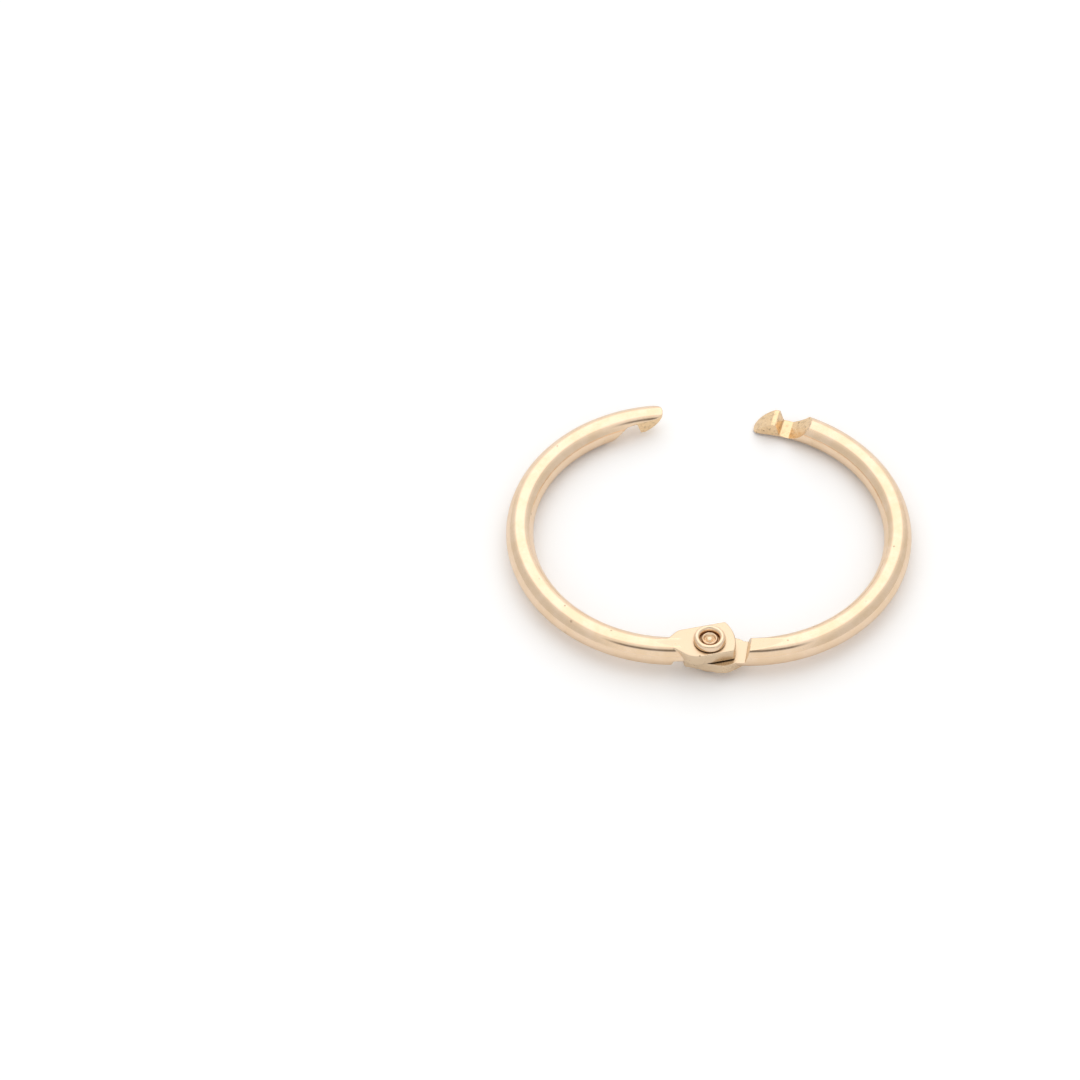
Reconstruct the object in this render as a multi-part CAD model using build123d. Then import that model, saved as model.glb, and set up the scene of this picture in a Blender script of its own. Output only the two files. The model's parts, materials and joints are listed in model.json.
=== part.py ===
"""Hinged loose-leaf binder ring: two stamped half rings of round wire on one rolled rivet.

The origin is the centre of the ring's eye, midway between the centres of the two half rings
and in the middle plane of the wire. +Z runs along the rivet to its rolled end, +Y from the
rivet to the catch, and +X to the right half. The ring is modelled open, lying flat.

One half is drawn closed, about the rivet, with its hinge plate above the middle plane and
its catch hook pointing down. The other half is the same stamping turned over.
"""

import os
from math import cos, degrees, radians, sin, tan

from build123d import *

# Ring
INSIDE_DIAMETER = 38.0  # clear width inside the closed ring
WIRE_DIAMETER = 3.8
OPENING = 27.6  # degrees between the halves, counted from closed
RIVET_OUTSET = 0.15  # rivet axis outside the wire's centre line

# Hinge plates
PLATE_WIDTH = 5.3
PLATE_GAP = 0.2  # between the two plates
CREST_DROP = 0.13  # the plate's flat face lies this far below the wire's crest
PLATE_REACH = 3.55  # rivet axis to the middle of the plate's end
PLATE_END_RADIUS = 5.0
PLATE_CORNER = 0.35
PLATE_EDGE = 0.22  # rounding of the plate's outer edge
NECK_LENGTH = 1.9  # length over which the plate narrows to the wire
STEP_REACH = 5.1  # rivet axis to the foot of the other half's step
STEP_DRAFT = 16.0  # degrees, slope of the step
STEP_SKEW = 6.5  # degrees, turn of the step across the wire
STEP_DROP = 0.35  # the wire's crest is pressed down this far beside the step
RUN_OUT = 2.6  # length over which the wire's crest runs down to the plate

# Rivet
SHANK_DIAMETER = 2.5
HOLE_CLEARANCE = 0.07  # radial, shank in plate
HEAD_DIAMETER = 4.2
HEAD_WALL = 0.35
HEAD_DOME = 0.95
HEAD_CLEARANCE = 0.05  # head to lower plate
ROLL_DIAMETER = 4.4
ROLL_WALL = 0.2  # height of the rolled end's straight side
ROLL_HEIGHT = 0.75
ROLL_CLEARANCE = 0.14  # rolled end to upper plate, which lets the catch lift
LIP_DIAMETER = 3.3  # crest of the rolled lip
GROOVE_DIAMETER = 2.35  # floor of the groove inside the lip
RIM_DIAMETER = 1.8  # crest of the inner rim
RIM_HEIGHT = 0.36
RECESS_DIAMETER = 1.2  # floor of the recess round the pip
RECESS_HEIGHT = 0.12
PIP_HEIGHT = 0.34
POLE_FLAT = 0.12  # radius of the small flats at the middle of the dome and the pip

# Catch
CATCH_LENGTH = 8.1  # from the foot of one ramp to the foot of the other
HOOK_DEPTH = 0.92  # each hook reaches this far past the middle plane
HOOK_DRAFT = 17.0  # degrees, lean of the hook wall
HOOK_FLAT = 0.7  # flat at the hook's nose
ARCH_FLAT = 1.3  # flat at the top of the arch that takes the other hook
HOOK_ROUND = 0.22
RAMP_BOW = 0.26
ARCH_RUN = 0.5  # the arch starts this far past the other hook's thin end
CATCH_CLEARANCE = 0.12
NOSE_BLUNT = 0.3  # taken off the ramp's thin end
PINCH_START = 5.2  # catch centre to where the free end begins to narrow
WAIST_WIDTH = 3.1  # the narrowed end, beside the hook's wall
NOSE_WIDTH = 2.7  # the narrowed end, halfway along its ramp

# Worked out from the dimensions above
WIRE_RADIUS = WIRE_DIAMETER / 2
RING_RADIUS = INSIDE_DIAMETER / 2 + WIRE_RADIUS  # to the wire's centre line
RIVET_TO_CENTRE = RING_RADIUS + RIVET_OUTSET
PLATE_TOP = WIRE_RADIUS - CREST_DROP
PLATE_BOTTOM = PLATE_GAP / 2
HOLE_RADIUS = SHANK_DIAMETER / 2 + HOLE_CLEARANCE
EYE_TO_RIVET = RIVET_TO_CENTRE * cos(radians(OPENING / 2))
SPARE = WIRE_DIAMETER  # how far a cutting shape runs past what it cuts


def wire_arc():
    """Round wire from a little past the catch, round to the rivet."""
    past_catch = degrees((CATCH_LENGTH + SPARE) / 2 / RING_RADIUS)
    section = Plane.XZ * Pos(RING_RADIUS, 0) * Circle(WIRE_RADIUS)
    arc = revolve(section, Axis.Z, revolution_arc=180 + past_catch)
    return Pos(0, RIVET_TO_CENTRE) * Rot(0, 0, 90 - past_catch) * arc


def across_hinge(profile):
    """A profile in X and Z, cut through the hinge from front to back."""
    return extrude(Plane.XZ * profile, RIVET_TO_CENTRE / 2, both=True)


def below_plate():
    """What is stamped away under the plate, up to the step."""
    lean = (WIRE_RADIUS + SPARE) * tan(radians(STEP_DRAFT))
    low = -WIRE_RADIUS - SPARE
    far = RIVET_TO_CENTRE
    outline = Polyline(
        (-STEP_REACH, PLATE_BOTTOM),
        (-STEP_REACH - lean, low),
        (far, low),
        (far, PLATE_BOTTOM),
        close=True,
    )
    cut = across_hinge(make_face(outline))
    return Pos(-STEP_REACH) * Rot(0, 0, -STEP_SKEW) * Pos(STEP_REACH) * cut


def beside_step():
    """What is pressed off the wire's crest beside the step, on the side away from the plate."""
    start = -STEP_REACH - 2 * RUN_OUT
    outline = Polyline(
        (start, -WIRE_RADIUS),
        (-STEP_REACH, -WIRE_RADIUS + STEP_DROP),
        (-STEP_REACH, -WIRE_RADIUS - SPARE),
        (start, -WIRE_RADIUS - SPARE),
        close=True,
    )
    return across_hinge(make_face(outline))


def above_plate():
    """What is stamped off the wire's crest, sloping down to the plate's flat face."""
    high = WIRE_RADIUS + SPARE
    start = -STEP_REACH - RUN_OUT
    outline = Polyline(
        (start, WIRE_RADIUS),
        (-STEP_REACH, PLATE_TOP),
        (RIVET_TO_CENTRE, PLATE_TOP),
        (RIVET_TO_CENTRE, high),
        (start, high),
        close=True,
    )
    return across_hinge(make_face(outline))


def wire_rise(along):
    """How far the wire's centre line has risen above its lowest point, this far along."""
    return RING_RADIUS - (RING_RADIUS**2 - along**2) ** 0.5


def plate_outline():
    """The plate seen from above, from its neck inside the wire to its rounded end."""
    middle = RIVET_OUTSET
    inner = middle + PLATE_WIDTH / 2
    outer = middle - PLATE_WIDTH / 2
    shoulder = -STEP_REACH + NECK_LENGTH
    neck = -STEP_REACH - NECK_LENGTH / 2
    crest_half = (WIRE_RADIUS**2 - PLATE_TOP**2) ** 0.5
    neck_inner = (neck, middle + wire_rise(neck) + crest_half)
    neck_outer = (neck, middle + wire_rise(neck) - crest_half)
    along = (RING_RADIUS - wire_rise(neck), neck)
    back = (-along[0], -along[1])
    corner = PLATE_REACH - PLATE_WIDTH**2 / (8 * PLATE_END_RADIUS)
    end = ThreePointArc((corner, inner), (PLATE_REACH, middle), (corner, outer))
    inside = Line((corner, inner), (shoulder, inner))
    inside_neck = Spline((shoulder, inner), neck_inner, tangents=[(-1, 0), back])
    root = Line(neck_inner, neck_outer)
    outside_neck = Spline(neck_outer, (shoulder / 2, outer), tangents=[along, (1, 0)])
    outside = Line((shoulder / 2, outer), (corner, outer))
    face = make_face(inside + inside_neck + root + outside_neck + outside + end)
    corners = face.vertices().sort_by(Axis.X)[-2:]
    return fillet(corners, PLATE_CORNER)


def hinge_plate():
    """The flattened end of the wire, with its hole."""
    plate = Pos(0, 0, PLATE_BOTTOM) * extrude(plate_outline(), PLATE_TOP - PLATE_BOTTOM)
    rim = plate.faces().sort_by(Axis.Z)[-1].edges().sort_by(Axis.X)[1:]
    return fillet(rim, PLATE_EDGE)


def bowed(start, finish, bow):
    """A shallow arc, bowed to the left of its chord."""
    chord = Vector(*finish) - Vector(*start)
    left = Vector(-chord.Y, chord.X).normalized()
    middle = (Vector(*start) + Vector(*finish)) / 2 + left * bow
    return ThreePointArc(start, middle, finish)


def catch_cut():
    """What is pressed away at the free end: the outline is the hook's underside."""
    half = CATCH_LENGTH / 2
    shift = CATCH_CLEARANCE / 2
    low = -WIRE_RADIUS - SPARE
    high = WIRE_RADIUS + SPARE
    far = half + SPARE
    lean = HOOK_DEPTH * tan(radians(HOOK_DRAFT))
    arch_foot = (-half - ARCH_RUN, -WIRE_RADIUS)
    arch_back = (-lean - ARCH_FLAT, HOOK_DEPTH + shift)
    arch_front = (-lean + shift, HOOK_DEPTH + shift)
    nose_back = (lean + shift, -HOOK_DEPTH + shift)
    nose_front = (lean + HOOK_FLAT, -HOOK_DEPTH + shift)
    tip = (half - CATCH_CLEARANCE, WIRE_RADIUS)
    arch = bowed(arch_foot, arch_back, RAMP_BOW)
    wall = Polyline(arch_back, arch_front, nose_back, nose_front)
    ramp = bowed(nose_front, tip, -RAMP_BOW)
    back = Polyline(tip, (tip[0], high), (far, high), (far, low), (arch_foot[0], low), arch_foot)
    face = make_face(arch + wall + ramp + back)
    bends = [v for v in face.vertices() if abs(v.Y) < HOOK_DEPTH + CATCH_CLEARANCE]
    face = fillet(bends, HOOK_ROUND)
    blunt = Pos(tip[0] - NOSE_BLUNT + SPARE / 2, 0) * Rectangle(SPARE, 2 * high)
    cut = extrude(Plane.XZ * (face + blunt), 2 * WIRE_DIAMETER, both=True)
    return Pos(0, RIVET_TO_CENTRE + RING_RADIUS) * cut


def pinch_cut():
    """What is pressed off both sides of the free end, which narrows to a rounded nose."""
    end = CATCH_LENGTH / 2 - CATCH_CLEARANCE - NOSE_BLUNT
    waist = HOOK_DEPTH
    middle = end / 2
    widths = [(-PINCH_START, WIRE_DIAMETER), (-waist, WAIST_WIDTH), (middle, NOSE_WIDTH)]
    outer = [(along, width / 2 - wire_rise(along)) for along, width in widths]
    inner = [(along, -width / 2 - wire_rise(along)) for along, width in reversed(widths)]
    nose = (end, -wire_rise(end))
    side = Spline(*outer, nose, tangents=[(1, 0), (0, -1)])
    other_side = Spline(nose, *inner, tangents=[(0, -1), (-1, 0)])
    kept = make_face(side + other_side + Line(inner[-1], outer[0]))
    reach = PINCH_START + SPARE
    block = Pos((reach - PINCH_START) / 2, 0) * Rectangle(PINCH_START + reach, 4 * WIRE_DIAMETER)
    cut = extrude(block - kept, WIRE_DIAMETER, both=True)
    return Pos(0, RIVET_TO_CENTRE + RING_RADIUS) * cut


def half_ring():
    """One stamped half, closed, hinge plate up, about the rivet at X and Y zero."""
    wire = wire_arc() - below_plate() - above_plate() - beside_step() - catch_cut() - pinch_cut()
    hole = Cylinder(HOLE_RADIUS, 4 * WIRE_DIAMETER)
    return wire + hinge_plate() - hole


def rivet():
    """Domed head below, shank through both plates, rolled tubular end above."""
    shank = SHANK_DIAMETER / 2
    head = HEAD_DIAMETER / 2
    roll = ROLL_DIAMETER / 2
    head_top = -PLATE_TOP - HEAD_CLEARANCE
    head_side = head_top - HEAD_WALL
    foot = PLATE_TOP + ROLL_CLEARANCE
    head_bottom = head_side - HEAD_DOME
    pip_top = foot + PIP_HEIGHT
    dome = Spline((POLE_FLAT, head_bottom), (head, head_side), tangents=[(1, 0), (0, 1)])
    side = Polyline(
        (head, head_side),
        (head, head_top),
        (shank, head_top),
        (shank, foot),
        (roll, foot),
        (roll, foot + ROLL_WALL),
    )
    rolled = Spline(
        (roll, foot + ROLL_WALL),
        (LIP_DIAMETER / 2, foot + ROLL_HEIGHT),
        (GROOVE_DIAMETER / 2, foot),
        (RIM_DIAMETER / 2, foot + RIM_HEIGHT),
        (RECESS_DIAMETER / 2, foot + RECESS_HEIGHT),
        (POLE_FLAT, pip_top),
        tangents=[(0, 1), (-1, 0)],
    )
    axis = Polyline((POLE_FLAT, pip_top), (0, pip_top), (0, head_bottom), (POLE_FLAT, head_bottom))
    section = make_face(dome + side + rolled + axis)
    return revolve(Plane.XZ * section, Axis.Z)


def turned(piece, angle):
    """A half, swung about the rivet, with the ring's eye at the origin."""
    return Pos(0, -EYE_TO_RIVET) * Rot(0, 0, angle) * piece


def main():
    half = half_ring()
    nodes = {
        "left_half": turned(half, OPENING / 2),
        "right_half": turned(Rot(0, 180, 0) * half, -OPENING / 2),
        "rivet": turned(rivet(), OPENING / 2),
    }
    os.makedirs("parts", exist_ok=True)
    for name, piece in nodes.items():
        export_step(piece, f"parts/{name}.step")


if __name__ == "__main__":
    main()
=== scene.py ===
"""Hinged binder ring: plated-wire materials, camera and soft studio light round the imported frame."""

import json
from math import cos, pi, radians, sin, tan

import bpy
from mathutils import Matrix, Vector


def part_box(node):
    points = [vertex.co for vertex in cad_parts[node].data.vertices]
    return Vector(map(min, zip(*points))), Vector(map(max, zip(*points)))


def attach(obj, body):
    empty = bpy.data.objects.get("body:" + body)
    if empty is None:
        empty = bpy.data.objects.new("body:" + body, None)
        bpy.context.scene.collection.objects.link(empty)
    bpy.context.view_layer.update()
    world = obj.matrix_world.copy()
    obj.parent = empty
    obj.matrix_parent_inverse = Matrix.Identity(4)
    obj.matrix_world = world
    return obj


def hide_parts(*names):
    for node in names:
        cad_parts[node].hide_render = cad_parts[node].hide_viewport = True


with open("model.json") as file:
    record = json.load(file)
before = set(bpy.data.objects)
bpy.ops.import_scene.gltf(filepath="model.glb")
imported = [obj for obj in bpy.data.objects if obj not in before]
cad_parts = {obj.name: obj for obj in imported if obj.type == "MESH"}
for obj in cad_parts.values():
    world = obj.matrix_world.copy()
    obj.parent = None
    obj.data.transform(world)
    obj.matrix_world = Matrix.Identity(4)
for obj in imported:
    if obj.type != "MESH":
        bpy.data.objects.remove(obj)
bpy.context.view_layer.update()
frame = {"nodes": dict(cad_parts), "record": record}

MM = 0.001

# Places and sizes read from the frame
RIVET_LOW, RIVET_HIGH = (Vector(corner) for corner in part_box("rivet"))
RIGHT_LOW, RIGHT_HIGH = (Vector(corner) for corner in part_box("right_half"))
RIVET = (RIVET_LOW + RIVET_HIGH) / 2
ROLL_RADIUS = (RIVET_HIGH.x - RIVET_LOW.x) / 2
WIRE_RADIUS = (RIGHT_HIGH.z - RIGHT_LOW.z) / 2
MOUNTS = {mount["name"]: mount["pos_m"] for mount in frame["record"]["mounts"]}
WIRE_OUT = MOUNTS["right_wire"][0]

# A size of the part that is repeated here, and what follows from it
RING_RADIUS = 20.9 * MM  # from the centre of a half to the middle of its wire
HALF_CENTRE = WIRE_OUT - RING_RADIUS

# Where the finish of pressed faces starts, and where it is full
OFF_ROUND = (0.02 * MM, 0.07 * MM)  # distance from the wire's round surface
NEAR_RIVET = (4.3 * MM, 3.7 * MM)  # distance from the rivet's axis
ON_HOOKS = (RIGHT_HIGH.y - 8 * MM, RIGHT_HIGH.y - 6 * MM)  # y, towards the catch

# View and framing: degrees and metres, and millimetres for the lens and the sensor
ELEVATION = 49.8
AZIMUTH = 0.8
DISTANCE = 0.840
LENS = 204.36
SENSOR = 36.0
AIM = Vector((-0.02312, -0.00153, 0.0))

# Plating colours, linear
GOLD_DEEP = (0.90, 0.67, 0.45, 1)
GOLD_PALE = (0.95, 0.73, 0.53, 1)
RUBBED = (0.97, 0.82, 0.64, 1)
PRESSED = (0.79, 0.62, 0.43, 1)
HOOK_GOLD = (0.95, 0.69, 0.41, 1)
# dark brown for tarnish stains and pits, and also for the painted shade in crevices
TARNISH_AND_SHADE = (0.34, 0.22, 0.13, 1)

# Plating noise: scale, detail and, where it isn't the usual one, roughness
MOTTLE = (420.0, 4.0, 0.6)
LUMPS = (1500.0, 3.0, 0.6)
CLOUD = (90.0, 2.0)
LINES = (2400.0, 3.0, 0.6)
GRAIN = (5200.0, 4.0, 0.65)
RIVET_WEAR = (700.0, 3.0)
LINE_SQUEEZE = 0.05  # lengths along the wire shrink to this, so draw lines run 20 times longer

# Specks: spacing, share of places that hold one, and radius of the largest
SMALL_SPECKS = (0.7 * MM, 0.2, 0.13 * MM)
LARGE_SPECKS = (2.1 * MM, 0.14, 0.3 * MM)
HOOK_SPECKS = (0.45 * MM, 0.22, 0.17 * MM)

# Plating relief: depths of the layers of bumps, and reach of edges and of the painted shade in
# crevices
LINE_DEPTH = 0.012 * MM
DENT_DEPTH = 0.04 * MM
HAMMER_DEPTH = 0.16 * MM
SAND_DEPTH = 0.012 * MM
SPECK_DEPTH = 0.05 * MM
EDGE_ROUNDING = 0.14 * MM
# how far the ambient occlusion reaches for the painted crevice shade
SHADE_REACH = 0.9 * MM

# Turned rivet. The pairs are radius and height in millimetres, out from the middle of the pip,
# with heights above the foot of the rolled end
PIP = [(0.02, 0.4), (0.2, 0.385), (0.38, 0.3), (0.52, 0.1), (0.62, 0.06), (0.74, 0.22), (0.9, 0.4)]
GROOVE = [(1.03, 0.3), (1.11, 0.0), (1.2, -0.02), (1.27, 0.22), (1.38, 0.55), (1.52, 0.73)]
LIP = [(1.7, 0.8), (1.9, 0.755), (2.06, 0.62), (2.16, 0.42), (2.2, 0.2), (2.2, 0.1), (2.19, 0.0)]
ROLL_DRAWN = 2.2 * MM  # outer radius of those pairs, which are scaled to the frame's rivet
ROLL_HEIGHT = 0.8 * MM
ROLL_UNDERSIDE = 2.1 * MM  # radius of the flat under the roll
SHANK_RADIUS = 1.25 * MM
SHANK_CORNER = (0.05 * MM, 0.04 * MM)  # out and along, where the shank meets a flat
HEAD_RADIUS = 2.1 * MM
HEAD_HEIGHT = 1.3 * MM
HEAD_EDGE = 0.06 * MM  # corner between the head's flat and its wall
HEAD_WALL = 0.35 * MM  # the wall ends this far below the flat
HEAD_DOME = [(0.95, 0.62), (0.78, 0.94), (0.5, 1.18)]  # share of the radius, millimetres below
HEAD_TIP = 0.02 * MM  # radius of the disc that closes the dome

# Room: radiances
ROOM = 0.94
FRONT_DIMMER = 0.03
BACK_BRIGHTER = 0.05
SIDE_SHADE = 0.74  # share of the room's light that is left at its sides
BOX_LIGHT = 1.34
DARK_LIGHT = 0.2

# Panels in it, in degrees: tilt from overhead, then half width, half length and half the edge
BOX_TILT = 28.5  # towards the back
BOX_SPREAD = (29, 36, 5)
DARK_TILT = 36.0  # towards the camera
DARK_SPREAD = (27, 8, 6)

# Floor
FLOOR_HALF = 3.0  # half its side, in metres
FLOOR_WHITE = 0.95
FLOOR_FLECK = 0.004  # how far its fibres depart from that white
FLOOR_FIBRE = (900.0, 3.0)  # noise scale and detail
FLOOR_SEEN = 1.18  # brightened by this for camera rays alone


def new_material(name):
    material = bpy.data.materials.new(name)
    material.use_nodes = True
    material.node_tree.nodes.clear()
    return material, material.node_tree


def node(tree, kind, inputs=None, **settings):
    made = tree.nodes.new(kind)
    for key, value in settings.items():
        setattr(made, key, value)
    for key, value in (inputs or {}).items():
        if isinstance(value, bpy.types.NodeSocket):
            tree.links.new(value, made.inputs[key])
        else:
            made.inputs[key].default_value = value
    return made


def maths(tree, operation, *values):
    made = node(tree, "ShaderNodeMath", dict(enumerate(values)), operation=operation)
    return made.outputs[0]


def vector_maths(tree, operation, *values):
    made = node(tree, "ShaderNodeVectorMath", dict(enumerate(values)), operation=operation)
    return made.outputs["Value" if operation in ("DOT_PRODUCT", "LENGTH") else "Vector"]


def ramp(tree, value, low, high, start=0.0, finish=1.0, smooth=True):
    kind = "SMOOTHSTEP" if smooth else "LINEAR"
    made = node(tree, "ShaderNodeMapRange", {
        "Value": value, "From Min": low, "From Max": high, "To Min": start, "To Max": finish,
    }, interpolation_type=kind)
    return made.outputs["Result"]


def blend_colour(tree, factor, first, second):
    made = node(tree, "ShaderNodeMix", {0: factor, 6: first, 7: second}, data_type="RGBA")
    return made.outputs[2]


def noise(tree, place, scale, detail=3.0, roughness=0.5):
    made = node(tree, "ShaderNodeTexNoise", {
        "Vector": place, "Scale": scale, "Detail": detail, "Roughness": roughness,
    })
    return made.outputs["Fac"]


def along_wire(tree, place, centre_x):
    """A place unrolled along and round the wire, squeezed along it, and its distance off it."""
    local = vector_maths(tree, "SUBTRACT", place, (centre_x, 0, 0))
    split = node(tree, "ShaderNodeSeparateXYZ", {0: local})
    x, y, z = split.outputs
    flat = node(tree, "ShaderNodeCombineXYZ", {0: x, 1: y}).outputs[0]
    out = maths(tree, "SUBTRACT", vector_maths(tree, "LENGTH", flat), RING_RADIUS)
    length = maths(tree, "MULTIPLY", maths(tree, "ARCTAN2", y, x), RING_RADIUS)
    girth = maths(tree, "MULTIPLY", maths(tree, "ARCTAN2", z, out), WIRE_RADIUS)
    section = node(tree, "ShaderNodeCombineXYZ", {0: out, 1: z}).outputs[0]
    off = maths(tree, "SUBTRACT", vector_maths(tree, "LENGTH", section), WIRE_RADIUS)
    stretched = node(tree, "ShaderNodeCombineXYZ", {
        0: maths(tree, "MULTIPLY", length, LINE_SQUEEZE), 1: girth,
    }).outputs[0]
    return stretched, maths(tree, "ABSOLUTE", off)


def pits(tree, place, spacing, chance, size):
    """One inside round specks, which only some of the places hold; each has its own radius."""
    cells = node(tree, "ShaderNodeTexVoronoi", {"Vector": place, "Scale": 1 / spacing})
    picked = node(tree, "ShaderNodeSeparateColor", {0: cells.outputs["Color"]})
    chosen = maths(tree, "LESS_THAN", picked.outputs[0], chance)
    radius = maths(tree, "MULTIPLY", picked.outputs[1], size / spacing)
    inside = maths(tree, "SUBTRACT", radius, cells.outputs["Distance"])
    edge = 0.25 * size / spacing
    return maths(tree, "MULTIPLY", ramp(tree, inside, 0.0, edge), chosen)


def edge_wear(tree, size):
    """A normal bevelled over this distance, and one where it parts from the plain normal."""
    bevel = node(tree, "ShaderNodeBevel", {"Radius": size}, samples=6).outputs["Normal"]
    plain = node(tree, "ShaderNodeNewGeometry").outputs["Normal"]
    agree = vector_maths(tree, "DOT_PRODUCT", bevel, plain)
    return bevel, ramp(tree, agree, 0.995, 0.86)


def specks(tree, place, coarse):
    """Dark pits: small ones and a few fainter large ones anywhere, and more on the hooks."""
    small = pits(tree, place, *SMALL_SPECKS)
    large = pits(tree, place, *LARGE_SPECKS)
    on_hooks = pits(tree, place, *HOOK_SPECKS)
    anywhere = maths(tree, "MAXIMUM", small, maths(tree, "MULTIPLY", large, 0.5))
    return maths(tree, "MAXIMUM", anywhere, maths(tree, "MULTIPLY", on_hooks, coarse))


def plating_colour(tree, layers):
    """Mottled gold; warmer on the hooks, rubbed pale on edges, dark in pits, with painted shade in
    crevices.
    """
    mottle = maths(tree, "MULTIPLY", layers["mottle"], 0.7)
    cloud = maths(tree, "MULTIPLY", layers["cloud"], 0.3)
    tone = ramp(tree, maths(tree, "ADD", mottle, cloud), 0.36, 0.64)
    # Painted shade: ambient occlusion darkens crevices and the rivet's groove towards dark brown
    hollow = node(tree, "ShaderNodeAmbientOcclusion", {"Distance": SHADE_REACH}, samples=8)
    painted_crevice_shade = ramp(tree, hollow.outputs["AO"], 0.7, 0.2)
    coarse = layers["coarse"]
    stained = maths(tree, "MULTIPLY", ramp(tree, layers["lumps"], 0.5, 0.66), coarse)
    colour = blend_colour(tree, tone, GOLD_DEEP, GOLD_PALE)
    for mask, share, over in (
        (layers["pressed"], 0.85, PRESSED),
        (coarse, 0.9, HOOK_GOLD),
        (stained, 0.3, TARNISH_AND_SHADE),
        (layers["edge"], 0.5, RUBBED),
        (layers["dark"], 0.75, TARNISH_AND_SHADE),
        # painted shade in crevices
        (painted_crevice_shade, 0.8, TARNISH_AND_SHADE),
    ):
        colour = blend_colour(tree, maths(tree, "MULTIPLY", mask, share), colour, over)
    return colour


def plating_roughness(tree, layers):
    """Bright where drawn; duller on pressed faces, in mottled patches and in pits."""
    rough = ramp(tree, layers["grain"], 0.3, 0.7, 0.085, 0.14)
    for extra in (
        maths(tree, "MULTIPLY", layers["pressed"], 0.17),
        ramp(tree, layers["mottle"], 0.4, 0.7, 0.0, 0.05),
        maths(tree, "MULTIPLY", layers["dark"], 0.25),
    ):
        rough = maths(tree, "ADD", rough, extra)
    return rough


def plating_relief(tree, layers):
    """Draw lines, shallow dents, hammered hooks, fine sand and specks, each over the last."""
    pressed = layers["pressed"]
    dented = maths(tree, "ADD", 0.1, maths(tree, "MULTIPLY", pressed, 0.6))
    sanded = maths(tree, "ADD", 0.12, maths(tree, "MULTIPLY", pressed, 0.5))
    hammered = maths(tree, "MULTIPLY", layers["coarse"], 0.9)
    normal = layers["bevelled"]
    for height, strength, depth, inward in (
        (layers["lines"], 0.22, LINE_DEPTH, False),
        (layers["mottle"], dented, DENT_DEPTH, False),
        (layers["lumps"], hammered, HAMMER_DEPTH, False),
        (layers["grain"], sanded, SAND_DEPTH, False),
        (layers["dark"], 0.7, SPECK_DEPTH, True),
    ):
        normal = node(tree, "ShaderNodeBump", {
            "Height": height, "Strength": strength, "Distance": depth, "Normal": normal,
        }, invert=inward).outputs["Normal"]
    return normal


def finish_gold(tree, place, stretched, pressed):
    """Plating with draw lines, mottling, specks and rubbed edges; pressed faces are duller."""
    back = node(tree, "ShaderNodeSeparateXYZ", {0: place}).outputs[1]
    coarse = maths(tree, "MULTIPLY", pressed, ramp(tree, back, *ON_HOOKS))
    bevelled, edge = edge_wear(tree, EDGE_ROUNDING)
    layers = {
        "pressed": pressed,
        "coarse": coarse,
        "bevelled": bevelled,
        "edge": edge,
        "dark": specks(tree, place, coarse),
        "mottle": noise(tree, place, *MOTTLE),
        "lumps": noise(tree, place, *LUMPS),
        "cloud": noise(tree, place, *CLOUD),
        "lines": noise(tree, stretched, *LINES),
        "grain": noise(tree, place, *GRAIN),
    }
    shader = node(tree, "ShaderNodeBsdfPrincipled", {
        "Base Color": plating_colour(tree, layers),
        "Metallic": 1.0,
        "Roughness": plating_roughness(tree, layers),
        "Normal": plating_relief(tree, layers),
    })
    node(tree, "ShaderNodeOutputMaterial", {"Surface": shader.outputs["BSDF"]})


def wire_plating(name, centre_x):
    material, tree = new_material(name)
    place = node(tree, "ShaderNodeTexCoord").outputs["Object"]
    stretched, off = along_wire(tree, place, centre_x)
    pressed = ramp(tree, off, *OFF_ROUND)
    reach = vector_maths(tree, "SUBTRACT", place, (RIVET.x, RIVET.y, 0))
    reach = vector_maths(tree, "LENGTH", vector_maths(tree, "MULTIPLY", reach, (1, 1, 0)))
    pressed = maths(tree, "MAXIMUM", pressed, ramp(tree, reach, *NEAR_RIVET))
    finish_gold(tree, place, stretched, pressed)
    return material


def rivet_plating():
    material, tree = new_material("rivet_plating")
    place = node(tree, "ShaderNodeTexCoord").outputs["Object"]
    worn = ramp(tree, noise(tree, place, *RIVET_WEAR), 0.45, 0.75, 0.0, 0.5)
    finish_gold(tree, place, place, worn)
    return material


def dress(name, material):
    piece = frame["nodes"][name]
    piece.data.materials.clear()
    piece.data.materials.append(material)


def smooth_profile(points, steps=5):
    """A Catmull-Rom curve through radius and height pairs."""
    padded = [points[0]] + points + [points[-1]]
    curve = []
    for i in range(1, len(padded) - 2):
        p0, p1, p2, p3 = (Vector(p) for p in padded[i - 1:i + 3])
        square = 2 * p0 - 5 * p1 + 4 * p2 - p3
        cube = 3 * p1 - p0 - 3 * p2 + p3
        for k in range(steps):
            t = k / steps
            curve.append(0.5 * (2 * p1 + (p2 - p0) * t + square * t**2 + cube * t**3))
    curve.append(Vector(points[-1]))
    return curve


def lathe(name, profile, segments=160):
    """Turns a profile of radius and height round the rivet's axis, and closes both its ends."""
    verts, faces = [], []
    for spot in profile:
        for k in range(segments):
            a = 2 * pi * k / segments
            verts.append((RIVET.x + spot[0] * cos(a), RIVET.y + spot[0] * sin(a), spot[1]))
    rows = len(profile)
    for i in range(rows - 1):
        this, above = i * segments, (i + 1) * segments
        for k in range(segments):
            n = (k + 1) % segments
            faces.append((this + k, this + n, above + n, above + k))
    faces.append(tuple(range(segments))[::-1])
    faces.append(tuple((rows - 1) * segments + k for k in range(segments)))
    mesh = bpy.data.meshes.new(name)
    mesh.from_pydata(verts, [], faces)
    mesh.shade_smooth()
    piece = bpy.data.objects.new(name, mesh)
    bpy.context.scene.collection.objects.link(piece)
    return piece


def cup_profile(foot):
    """From the pip at the middle, out over the groove and the rolled lip, down to its foot."""
    return [(x * MM * ROLL_RADIUS / ROLL_DRAWN, foot + z * MM) for x, z in PIP + GROOVE + LIP]


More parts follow.
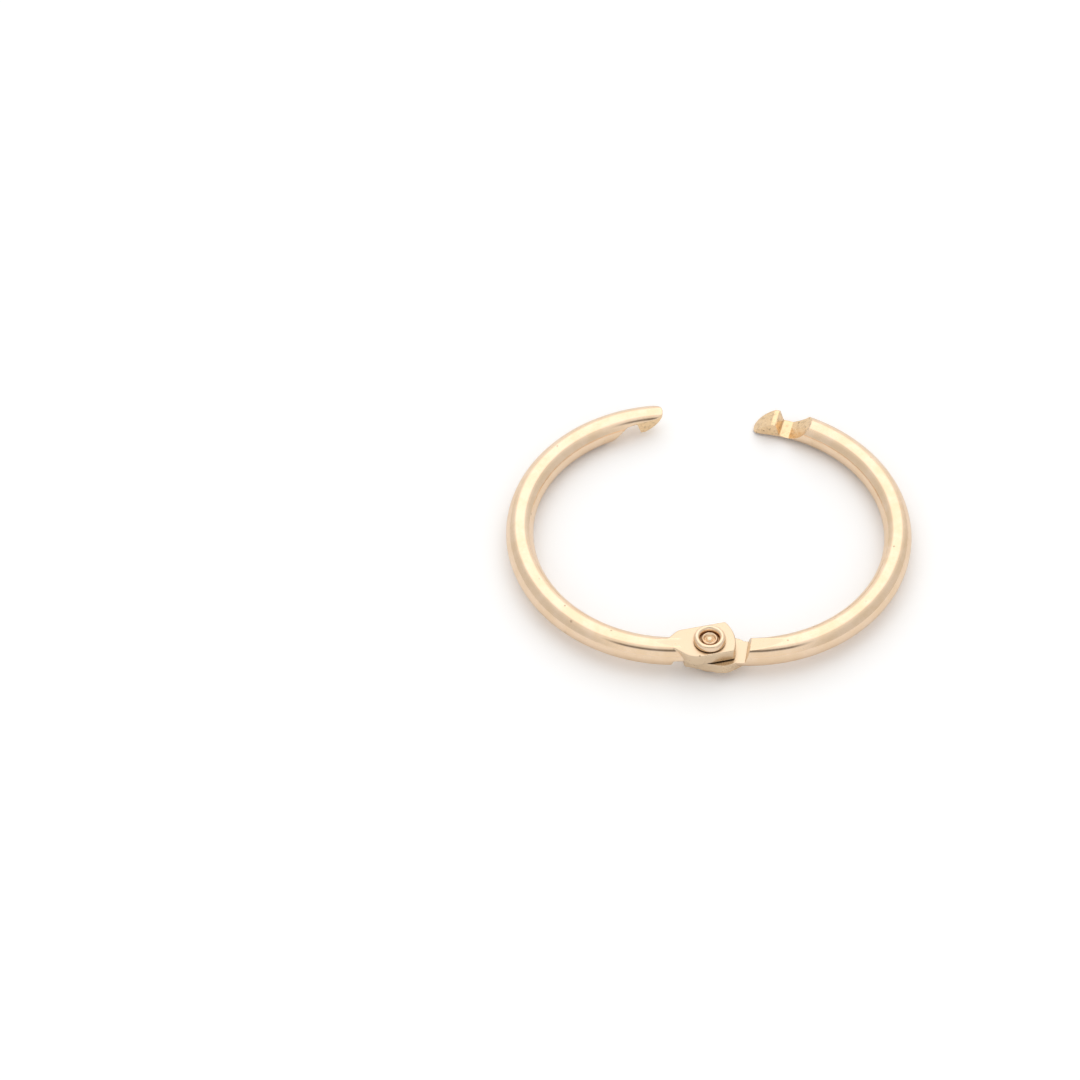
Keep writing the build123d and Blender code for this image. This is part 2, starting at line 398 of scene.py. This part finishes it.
def shank_profile(foot, head_top):
    """In along the underside of the roll, down the shank, and out along the head's flat."""
    out, along = SHANK_CORNER
    corner = SHANK_RADIUS + out
    under = [(ROLL_UNDERSIDE, foot), (corner, foot), (SHANK_RADIUS, foot - along)]
    over = [(SHANK_RADIUS, head_top + along), (corner, head_top)]
    return under + over + [(HEAD_RADIUS - HEAD_EDGE, head_top)]


def head_profile(head_top):
    """Down the head's wall and round its dome to the lowest point."""
    wall = [(HEAD_RADIUS, head_top - HEAD_EDGE), (HEAD_RADIUS, head_top - HEAD_WALL)]
    dome = [(HEAD_RADIUS * share, head_top - drop * MM) for share, drop in HEAD_DOME]
    return wall + dome + [(HEAD_TIP, RIVET_LOW.z)]


def add_rivet():
    """The rivet's rolled end, shank and head as one turned piece, in the CAD rivet's place."""
    foot = RIVET_HIGH.z - ROLL_HEIGHT
    head_top = RIVET_LOW.z + HEAD_HEIGHT
    cup = smooth_profile(cup_profile(foot))
    shank = [Vector(p) for p in shank_profile(foot, head_top)]
    head = smooth_profile(head_profile(head_top))
    piece = lathe("rivet_turned", cup + shank + head)
    piece.data.materials.append(rivet_plating())
    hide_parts("rivet")
    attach(piece, "rivet")


def add_floor():
    """A pale sheet that touches the rivet's head and the wire's low side by the catch."""
    slope = (RIGHT_LOW.z - RIVET_LOW.z) / (RIGHT_HIGH.y - RIVET.y)
    half = FLOOR_HALF
    corners = [(-half, -half), (half, -half), (half, half), (-half, half)]
    points = [(x, y, RIVET_LOW.z + slope * (y - RIVET.y)) for x, y in corners]
    mesh = bpy.data.meshes.new("floor")
    mesh.from_pydata(points, [], [(0, 1, 2, 3)])
    floor = bpy.data.objects.new("floor", mesh)
    bpy.context.scene.collection.objects.link(floor)
    material, tree = new_material("floor_paper")
    place = node(tree, "ShaderNodeTexCoord").outputs["Object"]
    fibre = noise(tree, place, *FLOOR_FIBRE)
    low = (FLOOR_WHITE - FLOOR_FLECK,) * 3 + (1,)
    high = (FLOOR_WHITE + FLOOR_FLECK,) * 3 + (1,)
    paper = blend_colour(tree, fibre, low, high)
    seen = node(tree, "ShaderNodeLightPath").outputs["Is Camera Ray"]
    lift = ramp(tree, seen, 0.0, 1.0, 1.0, FLOOR_SEEN, smooth=False)
    shown = node(tree, "ShaderNodeVectorMath", {0: paper, "Scale": lift}, operation="SCALE")
    shader = node(tree, "ShaderNodeBsdfDiffuse", {"Color": shown.outputs["Vector"]})
    node(tree, "ShaderNodeOutputMaterial", {"Surface": shader.outputs["BSDF"]})
    mesh.materials.append(material)


def add_camera():
    e, a = radians(ELEVATION), radians(AZIMUTH)
    back = Vector((sin(a) * cos(e), -cos(a) * cos(e), sin(e)))
    data = bpy.data.cameras.new("camera")
    data.lens = LENS
    data.sensor_width = SENSOR
    data.clip_start = 0.01
    camera = bpy.data.objects.new("camera", data)
    camera.location = AIM + back * DISTANCE
    camera.rotation_euler = (-back).to_track_quat("-Z", "Y").to_euler()
    bpy.context.scene.collection.objects.link(camera)
    bpy.context.scene.camera = camera


def panel(tree, direction, tilt, width, length, soft):
    """One inside a soft-edged rectangle of directions, tilted this far back from overhead.

    Width and length are half angles, and soft is half the width of the edge, all in degrees.
    """
    t = radians(tilt)
    axis, across, along = (0, sin(t), cos(t)), (1, 0, 0), (0, cos(t), -sin(t))
    ahead = vector_maths(tree, "DOT_PRODUCT", direction, axis)
    ahead = maths(tree, "MAXIMUM", ahead, 0.001)
    side = maths(tree, "DIVIDE", vector_maths(tree, "DOT_PRODUCT", direction, across), ahead)
    rise = maths(tree, "DIVIDE", vector_maths(tree, "DOT_PRODUCT", direction, along), ahead)
    parts = []
    for value, half in ((side, width), (rise, length)):
        inner, outer = tan(radians(half - soft)), tan(radians(half + soft))
        parts.append(ramp(tree, maths(tree, "ABSOLUTE", value), outer, inner))
    return maths(tree, "MULTIPLY", *parts)


def add_room():
    """A pale room with a large soft box overhead, towards the back, and a dark band in front.

    The camera itself sees plain white in its place.
    """
    world = bpy.data.worlds.new("room")
    bpy.context.scene.world = world
    world.use_nodes = True
    tree = world.node_tree
    tree.nodes.clear()
    direction = node(tree, "ShaderNodeTexCoord").outputs["Generated"]
    box = panel(tree, direction, BOX_TILT, *BOX_SPREAD)
    dark = panel(tree, direction, -DARK_TILT, *DARK_SPREAD)
    aside, backward, _ = node(tree, "ShaderNodeSeparateXYZ", {0: direction}).outputs
    front, back = ROOM - FRONT_DIMMER, ROOM + BACK_BRIGHTER
    room = ramp(tree, backward, -0.9, 0.9, front, back, smooth=False)
    shade = ramp(tree, maths(tree, "ABSOLUTE", aside), 0.4, 0.8, 1.0, SIDE_SHADE)
    room = maths(tree, "MULTIPLY", room, shade)
    lit = maths(tree, "ADD", room, maths(tree, "MULTIPLY", box, BOX_LIGHT - ROOM))
    lit = maths(tree, "SUBTRACT", lit, maths(tree, "MULTIPLY", dark, ROOM - DARK_LIGHT))
    seen = node(tree, "ShaderNodeLightPath").outputs["Is Camera Ray"]
    unseen = maths(tree, "SUBTRACT", 1.0, seen)
    strength = maths(tree, "ADD", maths(tree, "MULTIPLY", lit, unseen), seen)
    shown = node(tree, "ShaderNodeBackground", {"Color": (1, 1, 1, 1), "Strength": strength})
    node(tree, "ShaderNodeOutputWorld", {"Surface": shown.outputs["Background"]})


bpy.context.scene.view_settings.view_transform = "Standard"
dress("left_half", wire_plating("left_plating", -HALF_CENTRE))
dress("right_half", wire_plating("right_plating", HALF_CENTRE))
add_rivet()
add_floor()
add_camera()
add_room()
